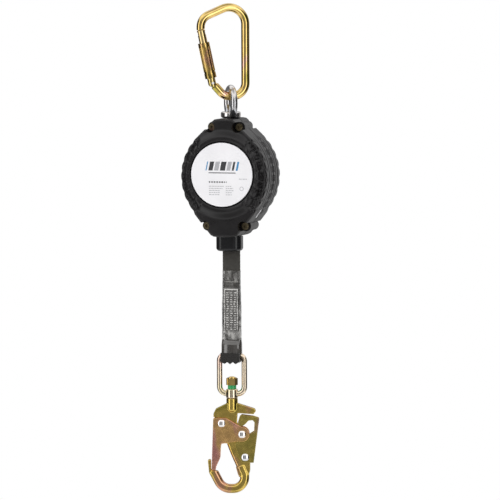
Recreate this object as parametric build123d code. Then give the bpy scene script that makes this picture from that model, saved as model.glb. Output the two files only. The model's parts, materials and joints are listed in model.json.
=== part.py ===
from build123d import *
import math
import os

# Self retracting lifeline: carabiner, swivel eye, cased drum, flat web line and
# a self-locking snap hook. Millimetres, +Z up, front face towards -Y.
# The origin is the inside of the carabiner's crown, where the anchor bears.

# ---- driving dimensions ----
CARABINER_YAW = 31.0          # turn of carabiner and eye about the vertical
HOOK_YAW = 16.0               # turn of the snap hook about the vertical
RUN = 0.08                    # radial clearance of a running fit
GAP = 0.3                     # gap between curved faces of different bodies

ROD_R = 5.0                   # carabiner rod
CROWN_Z = ROD_R               # rod centre line at the crown
BASKET_Z = -101.0             # rod centre line at the lower bend
SPINE_X = 18.2                # rod centre line of the solid side
NOSE_X = -36.5                # rod centre line of the nose
HINGE = (-22.9, -85.0)        # gate hinge, x and z
GATE_TILT = 12.0              # lean of the gate from the vertical
GATE_LENGTH = 64.6            # hinge to gate tip
GATE_R = 4.9
SLEEVE_R = 6.9
SLEEVE_SPAN = (6.2, 49.0)     # sleeve along the gate, from the hinge

EYE_WIRE_R = 4.2
EYE_RING_R = 17.0             # middle of the eye's wire
EYE_RING_Z = BASKET_Z + ROD_R + GAP - EYE_RING_R + EYE_WIRE_R
EYE_COLLAR_R = 12.0
EYE_COLLAR_SPAN = (-126.8, -119.4)
EYE_SHANK_R = 6.0

CASE_TOP = -127.0
CASE_TOP_HALF = 12.0
CASE_BOTTOM = -268.0
CASE_BOTTOM_HALF = 15.5
CASE_SHOULDER = (31.3, -147.0)
CASE_WAIST = (53.6, -192.5)
CASE_HIP = (42.8, -231.0)
CASE_HEEL = (28.2, -251.4)
CASE_WALL = 2.5
CASE_SIDE_Y = 30.0            # flat side wall, each way from the seam
CASE_FACE_Y = 36.5            # raised rim round the label
CASE_SHIFT = -2.0             # seam of the casing, in front of the eye's axis
SEAM = 0.1                    # half the gap between the two shells
LABEL_R = 38.0
LABEL_T = 0.5
RIM_R = 48.5
BOLT_UPPER = (17.0, -137.0)
BOLT_LOWER = (24.0, -255.0)
BOLT_R = 2.5
BOLT_HEAD_R = 4.4
BOLT_SEAT_Y = 16.0
SCALLOP_R = 6.3

DRUM_Z = -193.0
WEB_WIDTH = 22.0
WEB_T = 1.1
COIL_INNER_R = 25.0
COIL_OUTER_R = 38.4
FLANGE_R = 39.4
FLANGE_T = 1.2
SHAFT_R = 6.0
PLATE_T = 2.5
PLATE_Y = 13.2                # inner face of each frame plate
RATCHET_TEETH = 12

NOZZLE_SPAN = (-286.0, -268.3)
NOZZLE_SIZE = (31.0, 24.0)
NOZZLE_SHIFT = -1.5           # nozzle body, sideways from its slot
NOZZLE_SLOT = (23.6, 3.4)

SLEEVE_TOP = -310.0           # clear sleeve over the folded web
SLEEVE_BOTTOM = -392.8
BAND_BOTTOM = -411.4          # shrink band over the sewn eye
LOOP_BAR_Z = -412.0           # top bar of the ring, centre line
LOOP_INNER_R = 4.7
LOOP_WIDTH = 21.6

LINK_WIRE_R = 3.35
LINK_HALF_WIDTH = 15.5        # centre line
LINK_TOP_CORNER_R = 6.2
LINK_BOTTOM_CORNER_R = 8.4
LINK_BOTTOM_Z = -457.7        # lower bar, centre line
LINK_BOSS_R = 7.2
LINK_BOSS_SPAN = (-463.2, -452.2)
STUD_R = 4.0
STUD_HEAD_R = 6.9
STUD_HEAD_SPAN = (-447.4, -437.0)

HOOK_HALF_T = 4.5             # hook plate, half its thickness
BOWL_HALF_T = 5.6             # spine and bowl, half their thickness
LEVER_CHEEK = (4.8, 6.2)      # lever side plates, from the middle plane
GATE_CHEEK = (6.6, 8.0)       # gate side plates, from the middle plane
GATE_PIVOT = (-12.6, -493.0)
LATCH_PIN = (11.9, -506.3)
LEVER_PIVOT = (15.5, -534.1)
RIVET_R = 2.6
RIVET_HEAD_R = 4.7
RIVET_HEAD_T = 1.6
GATE_TIP = (-24.9, -549.2)     # lower outer corner of the closed gate


# ---- small builders ----
def prism(face, y0, y1):
    """A face drawn in x and z, made solid from y0 to y1."""
    return Pos(0, y1, 0) * extrude(Plane.XZ * face, y1 - y0)


def disc(x, z, radius, y0, y1):
    return prism(Pos(x, z) * Circle(radius), y0, y1)


def post(radius, z0, z1, x=0.0, y=0.0):
    return Pos(x, y, (z0 + z1) / 2) * Cylinder(radius, z1 - z0)


def tube(outer, inner, z0, z1):
    return post(outer, z0, z1) - post(inner, z0 - 1, z1 + 1)


def ring_y(outer, inner, y0, y1, x=0.0, z=DRUM_Z):
    return disc(x, z, outer, y0, y1) - disc(x, z, inner, y0 - 1, y1 + 1)


def block(x0, x1, y0, y1, z0, z1):
    centre = Pos((x0 + x1) / 2, (y0 + y1) / 2, (z0 + z1) / 2)
    return centre * Box(x1 - x0, y1 - y0, z1 - z0)


def slab(width, depth, radius, z0, z1):
    """A rounded rectangle made solid from z0 to z1."""
    return Pos(0, 0, z0) * extrude(RectangleRounded(width, depth, radius), z1 - z0)


def outline(points):
    return make_face(Polyline(*points, close=True))


def both_sides(face, near, far):
    return prism(face, near, far) + prism(face, -far, -near)


def coil_spring(radius, wire, pitch, height):
    path = Helix(pitch=pitch, height=height, radius=radius)
    start = Plane(origin=path @ 0, z_dir=path % 0)
    return sweep(start * Circle(wire), path=path, is_frenet=True)


def turned(yaw, shape):
    return Rot(0, 0, yaw) * shape


# ---- carabiner ----
def on_gate(shape):
    """Moves a shape built up the Z axis onto the gate's own axis."""
    return Pos(HINGE[0], 0, HINGE[1]) * Rot(0, -GATE_TILT, 0) * shape


def rod_path():
    top_slope = math.tan(math.radians(23))
    crown_corner = CROWN_Z + 0.51 * 20.2
    shoulder = crown_corner - (SPINE_X - NOSE_X) * top_slope
    heel = Vector(-8.0, BASKET_Z)
    reach = heel.X - HINGE[0] - 3.4
    points = [
        (NOSE_X, -26.0),
        (NOSE_X, shoulder),
        (SPINE_X, crown_corner),
        (SPINE_X, BASKET_Z),
        (heel.X, heel.Y),
        (heel.X - reach, heel.Y + reach * math.tan(math.radians(48))),
    ]
    line = FilletPolyline(*points, radius=[15.0, 20.2, 16.0, 15.0])
    return Plane.XZ * line


def carabiner_body():
    path = rod_path()
    start = Plane(origin=path @ 0, z_dir=path % 0)
    rod = sweep(start * Circle(ROD_R), path=path)
    rod -= on_gate(post(12.0, 30.0, GATE_LENGTH + 0.7))
    rod -= on_gate(post(GATE_R + GAP, -4.9, 8.0))
    stem = on_gate(block(-3.4, 3.4, -1.3, 1.3, 60.8, GATE_LENGTH + 2.5))
    head = on_gate(block(-3.4, 3.4, -2.7, 2.7, 59.6, 61.4))
    tongue = disc(HINGE[0], HINGE[1], 4.4, -1.9, 1.9)
    root_line = outline([(0, 3.6), (0, -3.6), (9, -3.6), (9, 3.6)])
    root = Pos(HINGE[0], 0, HINGE[1]) * Rot(0, 46, 0) * prism(root_line, -1.9, 1.9)
    hole = disc(HINGE[0], HINGE[1], 1.5 + RUN, -6, 6)
    return turned(CARABINER_YAW, rod + stem + head + tongue + root - hole)


def carabiner_gate():
    bar = post(GATE_R, 0, GATE_LENGTH)
    bar = fillet(bar.edges().group_by(Axis.Z)[-1], 0.6)
    eye = Rot(90, 0, 0) * Cylinder(4.5, 2 * GATE_R)
    eye &= post(GATE_R, -6, 6)
    bar += eye
    bar -= block(-6, 6, -2.2, 2.2, -6, 5.6)
    bar -= block(-6, 6, -3.1, 3.1, 58.4, 62.4)
    bar -= block(-6, 6, -1.65, 1.65, 62.0, GATE_LENGTH + 1)
    bar -= post(2.5, 5.0, 28.0)
    bar -= Rot(90, 0, 0) * Cylinder(1.5, 12)
    return turned(CARABINER_YAW, on_gate(bar))


def carabiner_gate_pin():
    pin = disc(HINGE[0], HINGE[1], 1.5, -GATE_R + 0.3, GATE_R - 0.3)
    return turned(CARABINER_YAW, pin)


def gate_spring():
    spring = Pos(0, 0, 12.0) * coil_spring(1.7, 0.35, 1.6, 14.0)
    return turned(CARABINER_YAW, on_gate(spring))


def gate_plunger():
    stem = post(2.1, 4.9, 7.5) + post(1.1, 7.5, 11.0)
    return turned(CARABINER_YAW, on_gate(stem))


def gate_sleeve():
    low, high = SLEEVE_SPAN
    shell = tube(SLEEVE_R, GATE_R + RUN, low, high)
    flutes = [
        Rot(0, 0, 30 * turn) * post(1.1, low + 9, high - 5, x=SLEEVE_R + 0.5)
        for turn in range(12)
    ]
    shell -= flutes
    shell -= tube(SLEEVE_R + 1, SLEEVE_R - 0.5, low + 6.5, low + 8)
    shell -= post(6.2, low + 8, low + 20)
    return turned(CARABINER_YAW, on_gate(shell))


def sleeve_spring():
    spring = Pos(0, 0, SLEEVE_SPAN[0] + 9.5) * coil_spring(5.55, 0.4, 1.6, 9.0)
    return turned(CARABINER_YAW, on_gate(spring))


# ---- swivel eye ----
def swivel_eye():
    ring = Pos(0, 0, EYE_RING_Z) * Rot(0, 90, 0) * Torus(EYE_RING_R, EYE_WIRE_R)
    low, high = EYE_COLLAR_SPAN
    ring -= post(30.0, -140, low)
    collar = post(EYE_COLLAR_R, low, high)
    collar = fillet(collar.edges().filter_by(GeomType.CIRCLE), 2.2)
    shank = post(EYE_SHANK_R, -153.6, low + 1)
    shank -= Pos(0, 0, -149.5) * Rot(90, 0, 0) * Cylinder(1.25, 20)
    return turned(CARABINER_YAW, ring + collar + shank)


def eye_thrust_washer():
    return tube(10.0, EYE_SHANK_R + RUN, -144.8, -143.2)


def eye_nut():
    hexagon = RegularPolygon(9.0, 6, major_radius=False)
    nut = Pos(0, 0, -153.0) * extrude(hexagon, 8.0) - post(EYE_SHANK_R, -160, -140)
    nut -= Pos(0, 0, -149.5) * Rot(90, 0, 0) * Cylinder(1.25, 30)
    return turned(CARABINER_YAW, nut)


def eye_retaining_pin():
    pin = Pos(0, 0, -149.5) * Rot(90, 0, 0) * Cylinder(1.25, 17)
    return turned(CARABINER_YAW, pin)


def eye_yoke():
    yoke = block(-10.0, 10.0, -PLATE_Y, PLATE_Y, -143.0, -132.0)
    return yoke - post(EYE_SHANK_R + RUN, -150, -130, y=-CASE_SHIFT)


# ---- casing ----
def case_face(inset=0.0):
    half = [
        Line((0, CASE_TOP), (CASE_TOP_HALF, CASE_TOP)),
        Line((CASE_TOP_HALF, CASE_TOP), CASE_SHOULDER),
        ThreePointArc(CASE_SHOULDER, CASE_WAIST, CASE_HIP),
        Line(CASE_HIP, CASE_HEEL),
        Line(CASE_HEEL, (CASE_BOTTOM_HALF, CASE_BOTTOM)),
        Line((CASE_BOTTOM_HALF, CASE_BOTTOM), (0, CASE_BOTTOM)),
    ]
    mirrored = [mirror(edge, Plane.YZ) for edge in half]
    face = make_face(half + mirrored)
    if inset:
        face = offset(face, -inset, kind=Kind.INTERSECTION)
    return face


def bolt_places():
    for x, z in (BOLT_UPPER, BOLT_LOWER):
        yield x, z
        yield -x, z


def shell_half():
    """The front shell; the rear one is its mirror image."""
    face = case_face()
    skin = prism(face, -CASE_SIDE_Y, -SEAM)
    rim = fillet(skin.faces().sort_by(Axis.Y)[0].edges(), 3.0)
    dome = disc(0, DRUM_Z, RIM_R, -CASE_FACE_Y, -CASE_SIDE_Y + 1)
    dome = chamfer(dome.edges().group_by(Axis.Y)[0], 4.5)
    shell = rim + dome
    for x, z in bolt_places():
        shell += disc(x, z, SCALLOP_R, -BOLT_SEAT_Y, -SEAM)
    shell -= prism(case_face(CASE_WALL), -CASE_SIDE_Y + CASE_WALL, 1)
    shell -= disc(0, DRUM_Z, RIM_R - 5.5, -CASE_FACE_Y + 4.0, 0)
    shell -= disc(0, DRUM_Z, LABEL_R + 0.3, -CASE_FACE_Y - 1, -CASE_FACE_Y + 1.2)
    for x, z in bolt_places():
        boss = disc(x, z, SCALLOP_R, -BOLT_SEAT_Y, -SEAM)
        wall = disc(x, z, SCALLOP_R + 2, -CASE_SIDE_Y, -BOLT_SEAT_Y + 2)
        shell += boss + (wall & prism(face, -CASE_SIDE_Y + 3, -BOLT_SEAT_Y + 2))
        shell -= disc(x, z, SCALLOP_R, -CASE_FACE_Y - 1, -BOLT_SEAT_Y)
        shell -= disc(x, z, BOLT_R, -CASE_FACE_Y, 1)
    return shell - slab(24.4, 16.4, 6, -272, -262)


def eye_hole():
    return post(EYE_SHANK_R + GAP, -135, -120, y=-CASE_SHIFT)


def front_shell():
    return shell_half() - eye_hole()


def rear_shell():
    return mirror(shell_half(), Plane.XZ) - eye_hole()


def front_label():
    face = -CASE_FACE_Y + 1.2
    return disc(0, DRUM_Z, LABEL_R, face - LABEL_T, face)


def rear_label():
    return mirror(front_label(), Plane.XZ)


def housing_bolts():
    bolts = []
    for x, z in bolt_places():
        head = disc(x, z, BOLT_HEAD_R, -BOLT_SEAT_Y - 4.2, -BOLT_SEAT_Y)
        socket = Pos(x, z) * RegularPolygon(1.9, 6)
        head -= prism(socket, -BOLT_SEAT_Y - 4.3, -BOLT_SEAT_Y - 1.6)
        bolts.append(head + disc(x, z, BOLT_R, -BOLT_SEAT_Y - 1, BOLT_SEAT_Y + 4))
    return bolts


def housing_nuts():
    nuts = []
    for x, z in bolt_places():
        hexagon = Pos(x, z) * RegularPolygon(4.0, 6, major_radius=False)
        nut = prism(hexagon, BOLT_SEAT_Y, BOLT_SEAT_Y + 4)
        nuts.append(nut - disc(x, z, BOLT_R, 0, 30))
    return nuts


def web_outlet_nozzle():
    low, high = NOZZLE_SPAN
    body = slab(*NOZZLE_SIZE, 9.0, low, high)
    body = fillet(body.faces().sort_by(Axis.Z)[0].edges(), 4.0)
    body = Pos(NOZZLE_SHIFT, 0, 0) * body
    body += slab(24.0, 16.0, 6.0, high - 1, -262)
    body += slab(28.0, 20.0, 6.0, -265.2, -262)
    slot_width, slot_depth = NOZZLE_SLOT
    slot = slab(slot_width, slot_depth, 1.6, low - 1, -260)
    return body - Pos(0, -CASE_SHIFT, 0) * slot


# ---- frame, drum and brake ----
def frame_plate(y0, y1):
    neck = Pos(0, -140) * Rectangle(16, 16)
    middle = Pos(0, DRUM_Z) * Circle(46.0)
    foot = Pos(0, -240) * Rectangle(28, 20)
    plate = prism(neck + middle + foot, y0, y1)
    return plate - disc(0, DRUM_Z, SHAFT_R + 1.5, y0 - 1, y1 + 1)


def frame_plate_front():
    return frame_plate(-PLATE_Y - PLATE_T, -PLATE_Y)


def frame_plate_rear():
    return frame_plate(PLATE_Y, PLATE_Y + PLATE_T)


def frame_spacers():
    reach = 43.0
    spacers = []
    for angle in (200, 340):
        x = reach * math.cos(math.radians(angle))
        z = DRUM_Z + reach * math.sin(math.radians(angle))
        spacers.append(disc(x, z, 2.6, -PLATE_Y, PLATE_Y))
    return spacers


def shaft_bushes():
    near = PLATE_Y - 0.4
    far = PLATE_Y + PLATE_T
    bush = ring_y(SHAFT_R + 1.5, SHAFT_R + RUN, near, far)
    return [bush, mirror(bush, Plane.XZ)]


def drum_shaft():
    return disc(0, DRUM_Z, SHAFT_R, -28.0, 28.0)


def drum_hub():
    half = WEB_WIDTH / 2 + 0.1
    return ring_y(COIL_INNER_R, SHAFT_R, -half, half)


def drum_flange_front():
    near = -WEB_WIDTH / 2 - 0.1
    return ring_y(FLANGE_R, SHAFT_R, near - FLANGE_T, near)


def drum_flange_rear():
    return mirror(drum_flange_front(), Plane.XZ)


def web_coil():
    return ring_y(COIL_OUTER_R, COIL_INNER_R, -WEB_WIDTH / 2, WEB_WIDTH / 2)


def spring_arbor():
    return ring_y(9.0, SHAFT_R, -26.6, -PLATE_Y - PLATE_T - 0.8)


def spring_cup():
    wall = ring_y(36.0, 34.6, -28.5, -PLATE_Y - PLATE_T)
    floor = ring_y(34.6, 10.0, -PLATE_Y - PLATE_T - 0.7, -PLATE_Y - PLATE_T)
    return wall + floor


def power_spring():
    return ring_y(34.5, 24.0, -27.5, -17.5)


def pawl_carrier():
    base = PLATE_Y + PLATE_T + 0.5
    return ring_y(17.0, SHAFT_R, base, base + 2.0)


PAWL_BASE = PLATE_Y + PLATE_T + 2.8
PAWL_TOP = PAWL_BASE + 3.0
PAWL_PIVOT_R = 13.5


def pawl(side):
    """A pawl on its pin; its tip stands just inside the ratchet teeth."""
    pivot_x = side * PAWL_PIVOT_R
    tail = outline([
        (pivot_x - side * 2.8, DRUM_Z - side * 1.5),
        (pivot_x + side * 1.6, DRUM_Z - side * 2.6),
        (side * 17.6, DRUM_Z + side * 9.5),
        (side * 14.5, DRUM_Z + side * 12.0),
        (pivot_x - side * 3.0, DRUM_Z + side * 2.0),
    ])
    body = prism(tail, PAWL_BASE, PAWL_TOP) + disc(pivot_x, DRUM_Z, 3.0, PAWL_BASE, PAWL_TOP)
    return body - disc(pivot_x, DRUM_Z, 1.5 + RUN, 0, 30)


def pawl_pins():
    low = PAWL_BASE - 2.5
    return [disc(side * PAWL_PIVOT_R, DRUM_Z, 1.5, low + 2.2, PAWL_TOP + 0.6) for side in (-1, 1)]


def pawl_springs():
    springs = []
    for side in (-1, 1):
        coil = Rot(90, 0, 0) * coil_spring(1.5, 0.25, 0.8, 2.4)
        place = Pos(side * 8.2, PAWL_TOP - 0.2, DRUM_Z - side * 5.0)
        springs.append(place * coil)
    return springs


def ratchet_ring():
    base = PAWL_BASE - 0.2
    ring = ring_y(32.0, 24.0, base, base + 3.4)
    for tooth in range(RATCHET_TEETH):
        angle = 360 / RATCHET_TEETH * tooth + 8
        notch = outline([(20.5, -2.6), (25.6, -2.6), (23.2, 3.2), (20.5, 3.2)])
        ring -= prism(Pos(0, DRUM_Z) * Rot(0, 0, angle) * notch, base - 1, base + 4)
    return ring


def brake_linings():
    first = ring_y(31.5, 26.5, PAWL_BASE - 1.6, PAWL_BASE - 0.2)
    second = ring_y(31.5, 26.5, PAWL_TOP + 0.2, PAWL_TOP + 1.6)
    return [first, second]


def brake_pressure_plate():
    return ring_y(32.5, 24.5, PAWL_TOP + 1.6, PAWL_TOP + 3.2)


def disc_spring():
    section = make_face(Polyline(
        (25.5, PAWL_TOP + 4.8), (25.5, PAWL_TOP + 4.0), (31.5, PAWL_TOP + 3.2),
        (31.5, PAWL_TOP + 4.0), close=True))
    cone = revolve(section, Axis.Y)
    return Pos(0, 0, DRUM_Z) * cone


def shaft_circlips():
    clip = ring_y(8.0, SHAFT_R, 27.0, 27.8)
    return [clip, mirror(clip, Plane.XZ)]


# ---- line ----
def web_lead():
    """The web between coil and nozzle: it leaves the coil's side and turns
    a quarter about itself on the way down."""
    low = COIL_INNER_R + 7.0
    steps = 5
    sections = []
    for step in range(steps + 1):
        share = step / steps
        x = low * (1 - share) ** 1.3
        z = DRUM_Z - 39.5 - 26.0 * share
        start = (x * 0.62, -CASE_SHIFT * share, z)
        profile = Plane(origin=start, x_dir=(1, 0, 0), z_dir=(0, 0, 1))
        sections.append(profile * Rot(0, 0, 90 * (1 - share)) * Rectangle(WEB_WIDTH, WEB_T))
    return loft(sections, ruled=True)


def lifeline_web():
    return block(-WEB_WIDTH / 2, WEB_WIDTH / 2, -0.9, 0.9, -402.7, -261.5)


def strap_loop(inner, outer, top):
    """A strap round the link's upper bar, with both legs going up to top."""
    wrap = Pos(0, LOOP_BAR_Z) * (Circle(outer) - Circle(inner))
    wrap -= Pos(0, LOOP_BAR_Z + outer) * Rectangle(4 * outer, 2 * outer)
    height = top - LOOP_BAR_Z
    legs = Pos(0, LOOP_BAR_Z + height / 2) * Rectangle(2 * outer, height)
    legs -= Pos(0, LOOP_BAR_Z + height / 2) * Rectangle(2 * inner, height)
    return extrude(Plane.YZ * (wrap + legs), LOOP_WIDTH / 2, both=True)


def web_loop():
    outer = LOOP_INNER_R + 1.6
    strap = strap_loop(LOOP_INNER_R, outer, -403.4)
    half = LOOP_WIDTH / 2 - 1.6
    return strap + block(-half, half, -outer, outer, -404.4, -402.9)


def loop_protector():
    inner = LOOP_INNER_R + 1.7
    return strap_loop(inner, inner + 1.2, BAND_BOTTOM - 0.2)


def shrink_band():
    body = slab(25.4, 15.6, 7.0, BAND_BOTTOM, SLEEVE_BOTTOM)
    body -= slab(23.6, 13.6, 2.0, BAND_BOTTOM - 1, -402.6)
    body -= slab(23.0, 6.0, 2.0, -403, -390)
    return body - Pos(0, 0, LOOP_BAR_Z) * Rot(0, 90, 0) * Cylinder(5.6, 40)


def shrink_sleeve():
    wall = slab(24.4, 7.4, 3.4, SLEEVE_BOTTOM + 0.2, SLEEVE_TOP)
    return wall - slab(23.0, 6.0, 2.8, SLEEVE_BOTTOM - 1, SLEEVE_TOP + 1)


def sleeve_label():
    return block(-9.0, 9.0, -2.6, -2.2, SLEEVE_BOTTOM + 6, SLEEVE_TOP - 20)


def loop_stitching():
    rows = []
    for row in range(6):
        z = SLEEVE_BOTTOM + 14 + 11 * row
        rows.append(block(-8.5, 8.5, -2.0, -1.0, z, z + 1.2))
    return rows


# ---- ring and snap hook ----
def link_path():
    half = LINK_HALF_WIDTH
    points = [(-half, LOOP_BAR_Z), (half, LOOP_BAR_Z), (half, LINK_BOTTOM_Z), (-half, LINK_BOTTOM_Z)]
    upper = LINK_TOP_CORNER_R
    lower = LINK_BOTTOM_CORNER_R
    return Plane.XZ * FilletPolyline(*points, radius=[upper, upper, lower, lower], close=True)


def hook_swivel_ring():
    path = link_path()
    start = Plane(origin=path @ 0, z_dir=path % 0)
    wire = sweep(start * Circle(LINK_WIRE_R), path=path)
    low, high = LINK_BOSS_SPAN
    boss = post(LINK_BOSS_R, low, high)
    boss = chamfer(boss.edges().filter_by(GeomType.CIRCLE), 0.9)
    return wire + boss - post(STUD_R + RUN, low - 1, high + 1)


def swivel_stud():
    low, high = STUD_HEAD_SPAN
    hexagon = RegularPolygon(STUD_HEAD_R, 6)
    head = Pos(0, 0, low) * extrude(hexagon, high - low - 2.2)
    head += post(STUD_HEAD_R - 1.2, low, high - 1.6)
    head += Pos(0, 0, high - 8.2) * (Sphere(8.2) & post(4.6, 5.4, 8.2))
    stem = post(STUD_R, LINK_BOSS_SPAN[0] - 8, low + 1)
    return turned(HOOK_YAW, head + stem)


def load_indicator_band():
    return tube(5.1, STUD_R, LINK_BOSS_SPAN[1] + GAP, STUD_HEAD_SPAN[0])


def hook_plate_face():
    return outline([
        (-6.5, -469.5), (-19.4, -475.8), (-22.3, -481.6), (-22.6, -485.4), (-18.2, -487.4),
        (-18.2, -495.4), (-8.6, -518.5), (-6.0, -523.0), (8.0, -523.0), (8.6, -500.0),
        (5.8, -492.0), (6.6, -481.0), (25.7, -482.5), (28.6, -478.6), (27.1, -475.8), (6.7, -469.2),
    ])


def spine_face():
    return outline([
        (-8.6, -516.0), (4.6, -547.5), (7.0, -556.0), (18.4, -560.5), (21.4, -550.0),
        (21.6, -530.0), (19.5, -521.5), (6.0, -509.0),
    ])


def nose_face():
    return outline([
        (-29.4, -538.4), (-28.6, -537.2), (-26.5, -536.9), (-25.5, -538.0), (-25.5, -549.7),
        (-18.4, -549.7), (-17.5, -553.0), (-20.0, -560.0), (-28.0, -552.5),
    ])


def bowl():
    points = [(10.4, -544.9), (14.8, -555.0), (14.8, -572.3), (-12.0, -572.3), (-23.4, -550.2)]
    line = FilletPolyline(*points, radius=[6.0, 14.0, 15.5])
    path = Plane.XZ * line
    start = Plane(origin=path @ 0, x_dir=(0, 1, 0), z_dir=path % 0)
    return sweep(start * RectangleRounded(2 * BOWL_HALF_T, 10.9, 4.4), path=path)


def hook_body():
    plate = prism(hook_plate_face() + spine_face(), -HOOK_HALF_T, HOOK_HALF_T)
    body = plate + bowl() + prism(nose_face(), -4.6, 4.6)
    x, z = GATE_TIP
    tip_reach = math.hypot(x - GATE_PIVOT[0], z - GATE_PIVOT[1]) + GAP
    sweep_room = disc(*GATE_PIVOT, tip_reach, -9, 9)
    body -= sweep_room & block(x - 2 * GAP, -10.0, -9, 9, -552.0, -530.0)
    barrel = post(6.9, -480.6, LINK_BOSS_SPAN[0] - GAP)
    barrel = fillet(barrel.edges().filter_by(GeomType.CIRCLE).group_by(Axis.Z)[0], 5.0)
    body += barrel
    body -= post(STUD_R, LINK_BOSS_SPAN[0] - 8, -450)
    for x, z in (GATE_PIVOT, LEVER_PIVOT):
        body -= disc(x, z, RIVET_R, -9, 9)
    return turned(HOOK_YAW, body)


def gate_cheek_face():
    ear = Pos(*LATCH_PIN) * Circle(8.8)
    arm = outline([
        (-22.7, -488.2), (-19.0, -486.2), (-7.6, -486.6), (-1.4, -490.0), (4.3, -493.6),
        (12.5, -497.8), (11.0, -514.9), (4.3, -514.9), (-12.7, -517.6), (-13.8, -522.0),
        (-14.4, -534.6), (-19.2, -545.0), (-19.9, -549.2), GATE_TIP,
    ])
    return arm + ear


def hook_gate():
    near, far = GATE_CHEEK
    cheeks = both_sides(gate_cheek_face(), near, far)
    band = outline([(-22.7, -488.2), (-21.2, -488.2), (-23.4, -549.2), GATE_TIP])
    gate = cheeks + prism(band, -far, far)
    gate -= disc(*GATE_PIVOT, RIVET_R + RUN, -9, 9)
    gate -= disc(*LATCH_PIN, RIVET_R, -9, 9)
    return turned(HOOK_YAW, gate)


def lever_cheek_face():
    return outline([
        (9.0, -485.4), (11.5, -483.0), (25.2, -484.8), (32.0, -487.0), (32.4, -489.0), (25.6, -540.7),
        (11.6, -540.5), (7.2, -533.2), (2.9, -517.1), (7.5, -511.6), (16.5, -510.6),
        (22.0, -505.6), (26.2, -503.0), (26.8, -492.0), (24.6, -489.4), (19.5, -489.9),
        (16.6, -493.4), (14.6, -495.0), (10.5, -497.5), (5.2, -498.0),
    ])


def lock_lever():
    near, far = LEVER_CHEEK
    band = outline([(30.9, -489.0), (32.4, -489.0), (25.6, -540.7), (24.1, -540.7)])
    lever = both_sides(lever_cheek_face(), near, far) + prism(band, -far, far)
    lever -= disc(*LEVER_PIVOT, RIVET_R + RUN, -9, 9)
    return turned(HOOK_YAW, lever)


def rivet(place, cheek):
    """A rivet with a low domed head outside each side plate."""
    seat = cheek + 0.15
    x, z = place
    stem = disc(x, z, RIVET_R, -seat, seat)
    head = disc(x, z, RIVET_HEAD_R, seat, seat + RIVET_HEAD_T)
    head = fillet(head.edges().filter_by(GeomType.CIRCLE).group_by(Axis.Y)[-1], 1.2)
    return turned(HOOK_YAW, stem + head + mirror(head, Plane.XZ))


def gate_pivot_rivet():
    return rivet(GATE_PIVOT, GATE_CHEEK[1])


def latch_pin():
    return rivet(LATCH_PIN, GATE_CHEEK[1] - 0.15)


def lever_pivot_rivet():
    return rivet(LEVER_PIVOT, LEVER_CHEEK[1])


def hook_gate_springs():
    x, z = GATE_PIVOT
    coil = Rot(90, 0, 0) * coil_spring(3.6, 0.3, 0.5, 1.0)
    near = Pos(x, -5.1, z) * coil
    far = Pos(x, 6.1, z) * coil
    return [turned(HOOK_YAW, near), turned(HOOK_YAW, far)]


def lock_lever_spring():
    coil = Rot(0, 90, 0) * coil_spring(1.9, 0.3, 0.7, 2.0)
    return turned(HOOK_YAW, Pos(21.8, 0, -526.0) * coil)


# ---- every node, by the name of its file ----
NODES = {
    "carabiner_body": carabiner_body,
    "carabiner_gate": carabiner_gate,
    "carabiner_gate_pin": carabiner_gate_pin,
    "carabiner_gate_plunger": gate_plunger,
    "carabiner_gate_spring": gate_spring,
    "carabiner_sleeve": gate_sleeve,
    "carabiner_sleeve_spring": sleeve_spring,
    "swivel_eye": swivel_eye,
    "eye_thrust_washer": eye_thrust_washer,
    "eye_nut": eye_nut,
    "eye_retaining_pin": eye_retaining_pin,
    "eye_yoke": eye_yoke,
    "front_shell": front_shell,
    "rear_shell": rear_shell,
    "front_label": front_label,
    "rear_label": rear_label,
    "housing_bolts": housing_bolts,
    "housing_nuts": housing_nuts,
    "web_outlet_nozzle": web_outlet_nozzle,
    "frame_plate_front": frame_plate_front,
    "frame_plate_rear": frame_plate_rear,
    "frame_spacers": frame_spacers,
    "shaft_bushes": shaft_bushes,
    "drum_shaft": drum_shaft,
    "drum_hub": drum_hub,
    "drum_flange_front": drum_flange_front,
    "drum_flange_rear": drum_flange_rear,
    "web_coil": web_coil,
    "spring_arbor": spring_arbor,
    "spring_cup": spring_cup,
    "power_spring": power_spring,
    "pawl_carrier": pawl_carrier,
    "pawl_a": lambda: pawl(1),
    "pawl_b": lambda: pawl(-1),
    "pawl_pins": pawl_pins,
    "pawl_springs": pawl_springs,
    "ratchet_ring": ratchet_ring,
    "brake_linings": brake_linings,
    "brake_pressure_plate": brake_pressure_plate,
    "brake_disc_spring": disc_spring,
    "shaft_circlips": shaft_circlips,
    "web_lead": web_lead,
    "lifeline_web": lifeline_web,
    "web_loop": web_loop,
    "loop_protector": loop_protector,
    "shrink_band": shrink_band,
    "shrink_sleeve": shrink_sleeve,
    "sleeve_label": sleeve_label,
    "loop_stitching": loop_stitching,
    "hook_swivel_ring": hook_swivel_ring,
    "swivel_stud": swivel_stud,
    "load_indicator_band": load_indicator_band,
    "hook_body": hook_body,
    "hook_gate": hook_gate,
    "latch_pin": latch_pin,
    "lock_lever": lock_lever,
    "gate_pivot_rivet": gate_pivot_rivet,
    "lever_pivot_rivet": lever_pivot_rivet,
    "hook_gate_springs": hook_gate_springs,
    "lock_lever_spring": lock_lever_spring,
}


# Everything from the yoke to the lead of web, which sits on the casing's own seam.
HOUSED = list(NODES)[list(NODES).index("eye_yoke"):list(NODES).index("web_lead") + 1]


def main():
    os.makedirs("parts", exist_ok=True)
    for name, builder in NODES.items():
        shape = builder()
        pieces = shape if isinstance(shape, list) else [shape]
        if name in HOUSED:
            pieces = [Pos(0, CASE_SHIFT, 0) * piece for piece in pieces]
        shape = Compound(children=pieces) if len(pieces) > 1 else pieces[0]
        export_step(shape, f"parts/{name}.step")


main()
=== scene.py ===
import json
import math
import random

import bmesh
import bpy
import numpy as np
from mathutils import Matrix, Vector, noise


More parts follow.
